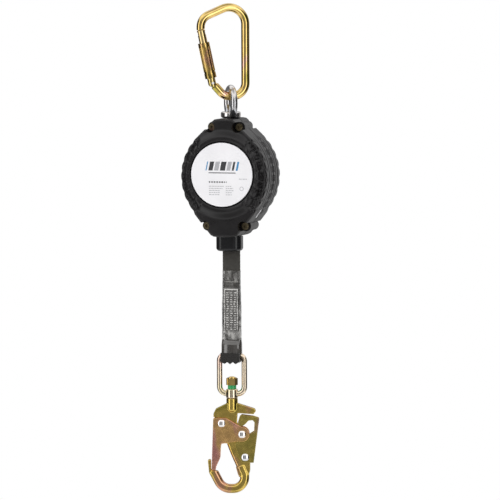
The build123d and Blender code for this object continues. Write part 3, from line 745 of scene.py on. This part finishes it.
def shell_rows(facing):
    """Rings of points over one half: its face, its corner, its side wall and its seam face."""
    angle = np.linspace(0, 2 * math.pi, CASE_COLUMNS, endpoint=False)
    edge = outline_radius(angle)
    wrapped = np.abs((angle + math.pi) % (2 * math.pi) - math.pi)
    side_angle = np.minimum(wrapped, math.pi - wrapped)
    sides = 1 - smooth_step(side_angle, PEBBLE_HALF_ANGLE - 0.16, PEBBLE_HALF_ANGLE + 0.06)
    shift = np.where(np.cos(angle) > 0, 0.0, LEFT_SHIFT)
    along = side_angle * np.sign(np.sin(angle)) * RIM_LENGTH_R + shift
    waves = 0.5 - 0.5 * np.cos(2 * math.pi * along / SCALLOP_PITCH)
    scallop = SCALLOP_DEPTH * waves ** 2 * sides
    beads = (0.5 + 0.5 * np.cos(2 * math.pi * along / BEAD_PITCH)) ** 0.6
    rows = []

    def add_row(rho, y):
        across = np.full(CASE_COLUMNS, CASE_Y) + facing * y
        rows.append(np.stack([rho * np.cos(angle), across, DRUM_Z + rho * np.sin(angle)], 1))

    # across the face, from the label's seat to the edge
    for rho in np.linspace(SEAT_R, GROOVE_R - 0.3 * MM, 4):
        add_row(np.full(CASE_COLUMNS, rho), SEAT_Y)
    start_r = GROOVE_R - 0.2 * MM
    for share in np.linspace(0, 1, 44):
        rho = start_r + (edge - CORNER_R - start_r) * share
        height = face_height(rho, pebble_field(along, rho), sides)
        inset = (edge - rho) / MM
        beaded = BEAD_DEPTH * bump_at(inset, *BEAD_ROW) * sides * (1 - beads)
        ditch = DITCH_DEPTH * bump_at(inset, *DITCH) * sides
        add_row(rho, height - beaded - ditch)
    # round the corner on to the side wall
    corner_start = edge - CORNER_R
    start = face_height(corner_start, pebble_field(along, corner_start), sides)
    for step in range(1, 9):
        turn = math.radians(90 * step / 8)
        rho = corner_start + CORNER_R * math.sin(turn) - scallop * math.sin(turn)
        add_row(rho, start - CORNER_R * (1 - math.cos(turn)))
    # down the side wall to the seam: thin grooves, a row of dashes and the lip
    between = smooth_step(np.abs(((along / DASH_PITCH) % 1) - 0.5), 0.30, 0.34)
    for y_mm in np.arange(WALL_TOP, WALL_FOOT, -WALL_STEP):
        lumps = np.clip((y_mm - SCALLOP_FOOT) / SCALLOP_RISE, 0, 1)
        groove = bump_at(y_mm, *UPPER_GROOVE) + 0.6 * bump_at(y_mm, *LOWER_GROOVE)
        dash = 1 - abs(np.clip((y_mm - DASH_ROW) / DASH_HALF_HEIGHT, -1, 1)) ** 6
        rho = edge - scallop * lumps
        rho = rho - GROOVE_DEPTH * groove * sides
        rho = rho - DASH_DEPTH * dash * (1 - between) * sides
        rho = rho - GROOVE_DEPTH * bump_at(y_mm, *LIP)
        add_row(rho, y_mm * MM)
    add_row(edge - LIP_DEPTH, SEAM)
    # the flat seam face, back in towards the middle
    for share in (0.35, 0.7):
        add_row((edge - LIP_DEPTH) * (1 - share) + SEAT_R * share, SEAM)
    add_row(np.full(CASE_COLUMNS, SEAT_R), SEAM)
    return rows


def make_shell(name, node, facing):
    """One half of the case. facing is -1 for the front half and +1 for the rear one."""
    rows = shell_rows(facing)
    faces = tube_faces(len(rows), CASE_COLUMNS)
    piece = tidy_normals(add_mesh(name, np.concatenate(rows), faces))
    seam_side = CASE_Y + facing * SEAM
    deep = CASE_Y + facing * BOSS_HEIGHT
    out = CASE_Y + facing * 40 * MM
    for x, z in bolt_axes():
        cut(piece, rod_between("scallop", (x, deep, z), (x, out, z), RECESS_R))
        away = Vector((math.copysign(1, x), 0, 0.75 * math.copysign(1, z - DRUM_Z))).normalized()
        for reach in (3.5 * MM, 7 * MM):
            spot = Vector((x, 0, z)) + away * reach
            mouth = rod_between("mouth", (spot.x, deep, spot.z), (spot.x, out, spot.z), RECESS_R)
            cut(piece, mouth)
        cut(piece, rod_between("boss", (x, seam_side, z), (x, deep, z), BOSS_R), "UNION")
    hole_low, hole_high = CASE_TOP - 9 * MM, CASE_TOP + 5 * MM
    cut(piece, rod_between("eye_hole", (0, 0, hole_low), (0, 0, hole_high), EYE_HOLE_R))
    smooth_by_angle(piece, 50)
    dress(piece, "housing_black")
    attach(piece, "housing")
    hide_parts(node)


def bolt_axes():
    """Where the case's four bolts stand, from the bolts themselves."""
    low, high = low_of("housing_bolts"), high_of("housing_bolts")
    upper_z, lower_z = high.z - BOLT_HEAD_R, low.z + BOLT_HEAD_R
    return [
        (UPPER_BOLT_X, upper_z), (-UPPER_BOLT_X, upper_z),
        (high.x - BOLT_HEAD_R, lower_z), (low.x + BOLT_HEAD_R, lower_z),
    ]


def make_case():
    make_shell("case_front", "front_shell", -1)
    make_shell("case_rear", "rear_shell", 1)


def make_window():
    """The pale slit low on the case's right side, set into the wall."""
    box_high = high_of("front_shell")
    start, end = Vector((40.4, 0, -235.8)) * MM, Vector((33.2, 0, -245.6)) * MM
    along = (end - start).normalized()
    out = Vector((-along.z, 0, along.x))
    if out.x < 0:
        out = -out
    vertices, count = [], 20
    for lift in (-2.0 * MM, 0.25 * MM, 0.45 * MM):
        grow = 1.0 if lift < 0.4 * MM else 0.8
        for step in range(count):
            turn = 2 * math.pi * step / count
            half = (end - start).length / 2
            run = half * math.copysign(abs(math.cos(turn)) ** 0.5, math.cos(turn))
            rise = 1.15 * MM * grow * math.copysign(abs(math.sin(turn)) ** 0.8, math.sin(turn))
            spot = (start + end) / 2 + along * run + out * lift
            vertices.append(Vector((spot.x, box_high.y - 7.5 * MM + rise, spot.z)))
    piece = tidy_normals(add_mesh("side_window", vertices, tube_faces(3, count)))
    smooth_by_angle(piece, 40)
    dress(piece, "label_white")
    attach(piece, "housing")


def make_label_groove():
    """The dark channel between each label and the rim round it."""
    for name, facing in (("label_groove_front", -1), ("label_groove_rear", 1)):
        seat = RIM_Y - 3.0 * MM
        profile = [
            (LABEL_R - 1.2 * MM, seat), (LABEL_R + 0.1 * MM, seat + 1.3 * MM),
            (LABEL_R + 0.5 * MM, seat + 1.0 * MM), (LABEL_R + 1.0 * MM, seat + 0.3 * MM),
            (LABEL_R + 1.7 * MM, seat + 0.1 * MM), (LABEL_R + 1.7 * MM, seat - 0.6 * MM),
            (LABEL_R - 1.2 * MM, seat - 0.6 * MM), (LABEL_R - 1.2 * MM, seat),
        ]
        piece = lathe(name, profile, 160, (0, CASE_Y, DRUM_Z), facing)
        dress(piece, "groove_black")
        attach(piece, "housing")


# ---------------------------------------------------------------- printed marks
INK_T = 0.06 * MM


def printed(name, shapes, ink_name, facing, body, origin):
    """Flat inked shapes on a face. Each shape is a list of (x, z) corners in millimetres."""
    vertices, faces = [], []
    for corners in shapes:
        start, count = len(vertices), len(corners)
        for y in (0.0, facing * INK_T):
            for x, z in corners:
                vertices.append(Vector(origin) + Vector((-facing * x * MM, y, z * MM)))
        faces += [tuple(start + corner for corner in face) for face in tube_faces(2, count)]
    piece = tidy_normals(add_mesh(name, vertices, faces, smooth=False))
    dress(piece, ink_name)
    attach(piece, body)


def bar(x, z, width, height, lean=0.0):
    return [(x, z), (x + width, z), (x + width + lean, z + height), (x + lean, z + height)]


def dash_row(rng, x, z, reach, height, longest):
    """A broken line of short strokes, like print too small to read."""
    shapes = []
    end = x + reach
    while x < end:
        width = min(rng.uniform(0.5, 1.0) * longest, end - x)
        shapes.append(bar(x, z, width, height))
        x += width + 0.55 * height + 0.25
    return shapes


def ring_shape(x, z, outer, inner, sides=28):
    """A ring as a row of small four-cornered pieces."""
    shapes = []
    for step in range(sides):
        one, two = (2 * math.pi * turn / sides for turn in (step, step + 1))
        corners = ((outer, one), (outer, two), (inner, two), (inner, one))
        shapes.append([(x + far * math.cos(turn), z + far * math.sin(turn)) for far, turn in corners])
    return shapes


MARK_FOOT, MARK_HEIGHT, MARK_LEAN = 5.0, 10.6, 2.2        # millimetres
SMALL_PRINT_TOP, SMALL_PRINT_PITCH = -14.2, 2.5


def mark_bars(*bars):
    """Leaning bars of the plain mark, each given as (x, width)."""
    return [bar(x, MARK_FOOT, width, MARK_HEIGHT, MARK_LEAN) for x, width in bars]


def make_label_print():
    """A plain mark of leaning bars, and rows of strokes that say nothing."""
    for side, facing, node in (("front", -1, "front_label"), ("rear", 1, "rear_label")):
        rng = random.Random(5)
        face = low_of(node).y if facing < 0 else high_of(node).y
        origin = (0, face, DRUM_Z)
        dark = mark_bars((-16.6, 5.2), (-2.4, 6.4), (12.4, 2.6))
        dark.append(bar(-16.4, 1.7, 33.6, 1.0))
        dark += dash_row(rng, -16.0, -9.6, 22.0, 1.7, 2.2)
        pale = mark_bars((-9.6, 5.4), (5.8, 4.8))
        for row in range(5):
            z = SMALL_PRINT_TOP - SMALL_PRINT_PITCH * row
            pale += dash_row(rng, -16.0, z, rng.uniform(11.0, 19.0), 0.8, 3.6)
            pale += dash_row(rng, 5.0, z, rng.uniform(4.0, 10.0), 0.8, 3.0)
        pale += dash_row(rng, 21.5, -5.4, 9.6, 1.0, 2.4)
        pale += ring_shape(24.6, -16.4, 2.5, 1.9)
        accent = mark_bars((17.4, 2.4), (-20.2, 1.3))
        parts = (
            ("dark", dark, "ink_dark"), ("pale", pale, "ink_grey"), ("accent", accent, "ink_accent"))
        for part, shapes, ink_name in parts:
            name = "label_ink_" + part + "_" + side
            printed(name, shapes, ink_name, facing, "housing", origin)


# ---------------------------------------------------------------- line
def ring_section(half_width, half_depth, power, columns):
    """Points round a flattened rounded section."""
    points = []
    for step in range(columns):
        turn = 2 * math.pi * step / columns
        c, s = math.cos(turn), math.sin(turn)
        x = half_width * math.copysign(abs(c) ** (2 / power), c)
        y = half_depth * math.copysign(abs(s) ** (2 / power), s)
        points.append((x, y))
    return points


def skin(name, rows, columns=64, power=4.0, ends=True, move=None):
    """A closed skin through (x, z, half width, half depth) rows; move may push points about."""
    vertices = []
    for x0, z, half_width, half_depth in rows:
        for x, y in ring_section(half_width, half_depth, power, columns):
            point = Vector((x0 + x, y, z))
            if move:
                point = move(point, Vector((x / half_width, y / half_depth, 0)))
            vertices.append(point)
    faces = tube_faces(len(rows), columns) if ends else grid_faces(len(rows), columns, closed=True)
    return tidy_normals(add_mesh(name, vertices, faces))


WEB_HALF_W = 10.9 * MM
WEB_HALF_T = 0.85 * MM
WEB_PITCH = 1.35 * MM


def make_web():
    """The woven web from inside the nozzle down to its sewn end."""
    top, bottom = high_of("lifeline_web").z, low_of("lifeline_web").z
    rows = []
    step = WEB_PITCH / 6
    z = top
    while z > bottom:
        rib = math.sin(2 * math.pi * z / WEB_PITCH)
        edge = 0.12 * MM * noise.noise(Vector((0, 0, z * 400)))
        rows.append((0, z, WEB_HALF_W + 0.10 * MM * rib + edge, WEB_HALF_T + 0.13 * MM * rib))
        z -= step
    piece = skin("web_strap", rows, 72, 9.0)
    dress(piece, "web_black")
    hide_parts("lifeline_web")
    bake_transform(piece)


FILM_THICKNESS = 0.25 * MM


def make_sleeve():
    """Clear shrink film over the sewn fold, creased and pulled tight at its ends."""
    high, low = high_of("shrink_sleeve").z, low_of("shrink_sleeve").z
    count = 150

    def crease(point, outward):
        soft = noise.noise(Vector((point.x * 90, point.y * 90, point.z * 60)))
        sharp = abs(noise.noise(Vector((point.x * 260 + 3, point.y * 260, point.z * 190))))
        return point + outward.normalized() * ((0.34 * soft - 0.38 * sharp) * MM)

    rows = []
    for step in range(count + 1):
        share = step / count
        z = high + (low - high) * share
        width = 11.35 + 0.85 * smooth_step(share, 0.2, 1.0) - 0.2 * math.sin(share * 9)
        depth = 2.3 + 1.2 * smooth_step(share, 0.1, 0.4)
        rows.append((0, z, width * MM, depth * MM))
    outer = skin("shrink_film", rows, 96, 4.5, ends=False, move=crease)
    solidify = outer.modifiers.new("film", "SOLIDIFY")
    solidify.thickness = FILM_THICKNESS
    solidify.offset = -1
    apply_modifiers(outer)
    smooth_by_angle(outer, 60)
    dress(outer, "sleeve_clear")
    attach(outer, "lifeline_end")
    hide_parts("shrink_sleeve")


def make_sleeve_label():
    """The printed tag under the film: a pale frame, columns of short strokes and frayed edges."""
    low, high = low_of("sleeve_label"), high_of("sleeve_label")
    origin = (0, low.y - 0.02 * MM, (low.z + high.z) / 2)
    half_w, half_h = (high.x - low.x) / 2 / MM - 0.3, (high.z - low.z) / 2 / MM - 0.6
    rng = random.Random(9)
    strokes = []
    for column in (-5.6, -0.9, 3.6):
        for row in range(17):
            z = half_h - 6.2 - 2.75 * row
            width = rng.uniform(1.4, 3.2)
            x = column + rng.uniform(-0.5, 0.5)
            strokes.append(bar(x, z, width, 0.9 + rng.uniform(-0.2, 0.4)))
    edging = [bar(-half_w, half_h - 2.4, 2 * half_w, 1.3), bar(-half_w, -half_h, 2 * half_w, 1.6)]
    for row in range(20):
        z = -half_h + row * (2 * half_h - 2) / 20
        edging.append(bar(-half_w, z, rng.uniform(0.5, 1.4), 2.2))
        edging.append(bar(half_w - 1.4, z, rng.uniform(0.6, 1.4), 2.2))
    shapes = strokes + edging
    printed("tag_strokes", shapes, "tag_pale", -1, "lifeline_end", origin)


def make_band():
    """Thick glossy shrink band that grips the fold just over the ring."""
    high, low = high_of("shrink_band").z, low_of("shrink_band").z

    def dent(point, outward):
        soft = noise.noise(Vector((point.x * 120, point.y * 120, point.z * 50 + 7)))
        return point + outward.normalized() * (0.28 * soft * MM)

    rows = [(0, high - 0.4 * MM, 11.6 * MM, 3.4 * MM), (0, high, 12.1 * MM, 4.4 * MM)]
    for step in range(31):
        share = step / 30
        z = high - (high - low) * share
        swell = smooth_step(share, 0.0, 0.35)
        rows.append((0, z, (12.2 + 0.4 * swell) * MM, (4.6 + 3.1 * swell) * MM))
    rows.append((0, low + 0.2 * MM, 12.0 * MM, 7.1 * MM))
    rows.append((0, low + 2.0 * MM, 11.8 * MM, 6.9 * MM))
    piece = skin("shrink_collar", rows, 110, 2.5, move=dent)
    room_z = centre("loop_protector").z - 1.6 * MM
    cut(piece, rod_between("ring_room", (-30 * MM, 0, room_z), (30 * MM, 0, room_z), 5.4 * MM))
    smooth_by_angle(piece, 60)
    dress(piece, "band_grey")
    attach(piece, "lifeline_end")
    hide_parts("shrink_band")


def make_loop_flap():
    """The cut end of the web under the band: a thick black tongue with a zigzag edge."""
    box_low = low_of("loop_protector")
    half = 11.9 * MM
    top = low_of("shrink_band").z + 3 * MM
    thickness, tooth = 1.3 * MM, 7.4 * MM
    columns, levels = 81, 12
    vertices = []
    for depth in (0.0, thickness):
        for row in range(levels):
            share = row / (levels - 1)
            bow = 0.6 * MM * math.sin(math.pi * share)
            y = box_low.y - 0.5 * MM - bow - depth + thickness
            for column in range(columns):
                x = -half + 2 * half * column / (columns - 1)
                zigzag = abs(((x / tooth) % 1.0) - 0.5) * 2
                fray = 0.9 * MM * noise.noise(Vector((x * 300, 2, 0)))
                foot = box_low.z + 0.4 * MM - 2.6 * MM * zigzag - fray
                vertices.append((x, y, top + (foot - top) * share))
    count = levels * columns
    sheet = grid_faces(levels, columns)
    second = [tuple(i + count for i in face)[::-1] for face in sheet]
    border = list(range(columns))
    border += [row * columns + columns - 1 for row in range(1, levels)]
    border += [(levels - 1) * columns + column for column in range(columns - 2, -1, -1)]
    border += [row * columns for row in range(levels - 2, 0, -1)]
    rim = []
    for i, here in enumerate(border):
        after = border[(i + 1) % len(border)]
        rim.append((here, after, after + count, here + count))
    piece = tidy_normals(add_mesh("loop_flap", vertices, sheet + second + rim))
    smooth_by_angle(piece, 40)
    dress(piece, "web_dark")
    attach(piece, "lifeline_end")


# ---------------------------------------------------------------- hook and carabiner
def forged(name, node, body, finish, slot_name, voxel, rounds, extra=None, carve=None):
    """A remeshed copy of a forging with its edges rounded, as if tumbled.
    voxel is in millimetres, extra is added to the copy and carve is cut from it."""
    piece = bpy.data.objects.new(name, frame["nodes"][node].data.copy())
    bpy.context.collection.objects.link(piece)
    if carve is not None:
        cut(piece, carve)
    if extra is not None:
        work = bmesh.new()
        work.from_mesh(piece.data)
        work.from_mesh(extra.data)
        work.to_mesh(piece.data)
        work.free()
        bpy.data.objects.remove(extra)
    remesh = piece.modifiers.new("remesh", "REMESH")
    remesh.mode = "VOXEL"
    remesh.voxel_size = voxel * MM
    soften = piece.modifiers.new("soften", "SMOOTH")
    soften.factor = 0.5
    soften.iterations = rounds
    apply_modifiers(piece)
    smooth_by_angle(piece, 80)
    dress(piece, finish)
    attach(piece, body)
    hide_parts(node)


def hook_point(x, y, z):
    """A place drawn on the hook's own plane, in millimetres, brought into the shared frame."""
    return Matrix.Rotation(HOOK_YAW, 3, "Z") @ Vector((x * MM, y * MM, z * MM))


def spine_bar():
    """The rounded inner bar of the hook, from the bowl up behind the gate."""
    route = [
        (-4.2, -508.0), (-3.0, -514.0), (0.2, -523.0), (4.2, -533.0),
        (8.2, -542.0), (10.8, -548.5), (11.4, -553.0), (12.2, -557.5),
    ]
    vertices, columns = [], 32
    for index, (x, z) in enumerate(route):
        before, after = route[max(index - 1, 0)], route[min(index + 1, len(route) - 1)]
        run = Vector((after[0] - before[0], after[1] - before[1])).normalized()
        aside = Vector((-run.y, run.x))
        for u, v in ring_section(4.6, 4.62, 2.3, columns):
            vertices.append(hook_point(x + aside.x * u, v, z + aside.y * u))
    return tidy_normals(add_mesh("spine_bar", vertices, tube_faces(len(route), columns)))


def spine_relief():
    """What is cut from the plate's inner edge so that the round bar shows."""
    corners = [(-12.0, -517.5), (-3.6, -517.5), (7.2, -542.8), (5.6, -546.5), (0.0, -546.5)]
    vertices = [hook_point(x, y, z) for y in (-7, 7) for x, z in corners]
    return tidy_normals(add_mesh("spine_relief", vertices, tube_faces(2, len(corners))))


# piece, the node and body that it stands for, finish, slot, voxel and rounds of smoothing
FORGINGS = (
    ("gate_pressing", "hook_gate", "hook_gate", "zinc_rose", "zinc_rose", 0.32, 3),
    ("lever_pressing", "lock_lever", "lock_lever", "zinc_lever", "zinc_olive", 0.32, 3),
    ("carabiner_rod", "carabiner_body", "carabiner", "zinc_gold", "zinc_gold", 0.42, 6),
    ("eye_forging", "swivel_eye", "swivel_eye", "steel_bright", "steel_bright", 0.42, 6),
    ("ring_forging", "hook_swivel_ring", "hook_ring", "zinc_pale", "zinc_pale", 0.4, 5),
)


def make_forgings():
    forged("hook_forging", "hook_body", "snap_hook", "zinc_olive", "zinc_olive", 0.5, 8,
           spine_bar(), spine_relief())
    for row in FORGINGS:
        forged(*row)


# radius and height of a rivet's head and shank over its seat, in millimetres
RIVET_PROFILE = (
    (0.0, 1.62), (0.7, 1.60), (1.5, 1.50), (2.4, 1.28), (3.3, 0.94), (4.0, 0.56), (4.45, 0.22),
    (4.62, 0.0), (4.62, -0.3), (2.6, -0.3), (2.6, -6.0), (0.0, -6.0),
)


RIVET_CORE_R, RIVET_CORE_HALF = 2.55 * MM, 6.0 * MM


def make_rivets():
    """Bright domed rivets in place of the plain ones."""
    rivets = (
        ("gate_rivet", "gate_pivot_rivet", 8.15, "snap_hook"),
        ("latch_rivet", "latch_pin", 8.0, "hook_gate"),
        ("lever_rivet", "lever_pivot_rivet", 6.35, "snap_hook"),
    )
    for name, node, seat, body in rivets:
        profile = [(radius * MM, (seat + height) * MM) for radius, height in RIVET_PROFILE]
        place = centre(node)
        halves = [lathe(name + "_half", profile, 64, (0, 0, 0), facing) for facing in (-1, 1)]
        core_ends = (0, -RIVET_CORE_HALF, 0), (0, RIVET_CORE_HALF, 0)
        core = rod_between(name + "_core", *core_ends, RIVET_CORE_R)
        work = bmesh.new()
        for half in halves + [core]:
            work.from_mesh(half.data)
            bpy.data.objects.remove(half)
        mesh = bpy.data.meshes.new(name)
        work.to_mesh(mesh)
        work.free()
        mesh.transform(Matrix.Translation(place) @ Matrix.Rotation(HOOK_YAW, 4, "Z"))
        piece = bpy.data.objects.new(name, mesh)
        bpy.context.collection.objects.link(piece)
        smooth_by_angle(piece, 45)
        dress(piece, "rivet_steel")
        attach(piece, body)
        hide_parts(node)


# ---------------------------------------------------------------- the running order
make_camera()
make_studio()
make_materials()
dress_cad_nodes()
make_case()
make_window()
make_label_groove()
make_label_print()
make_web()
make_sleeve()
make_sleeve_label()
make_band()
make_loop_flap()
make_forgings()
make_rivets()
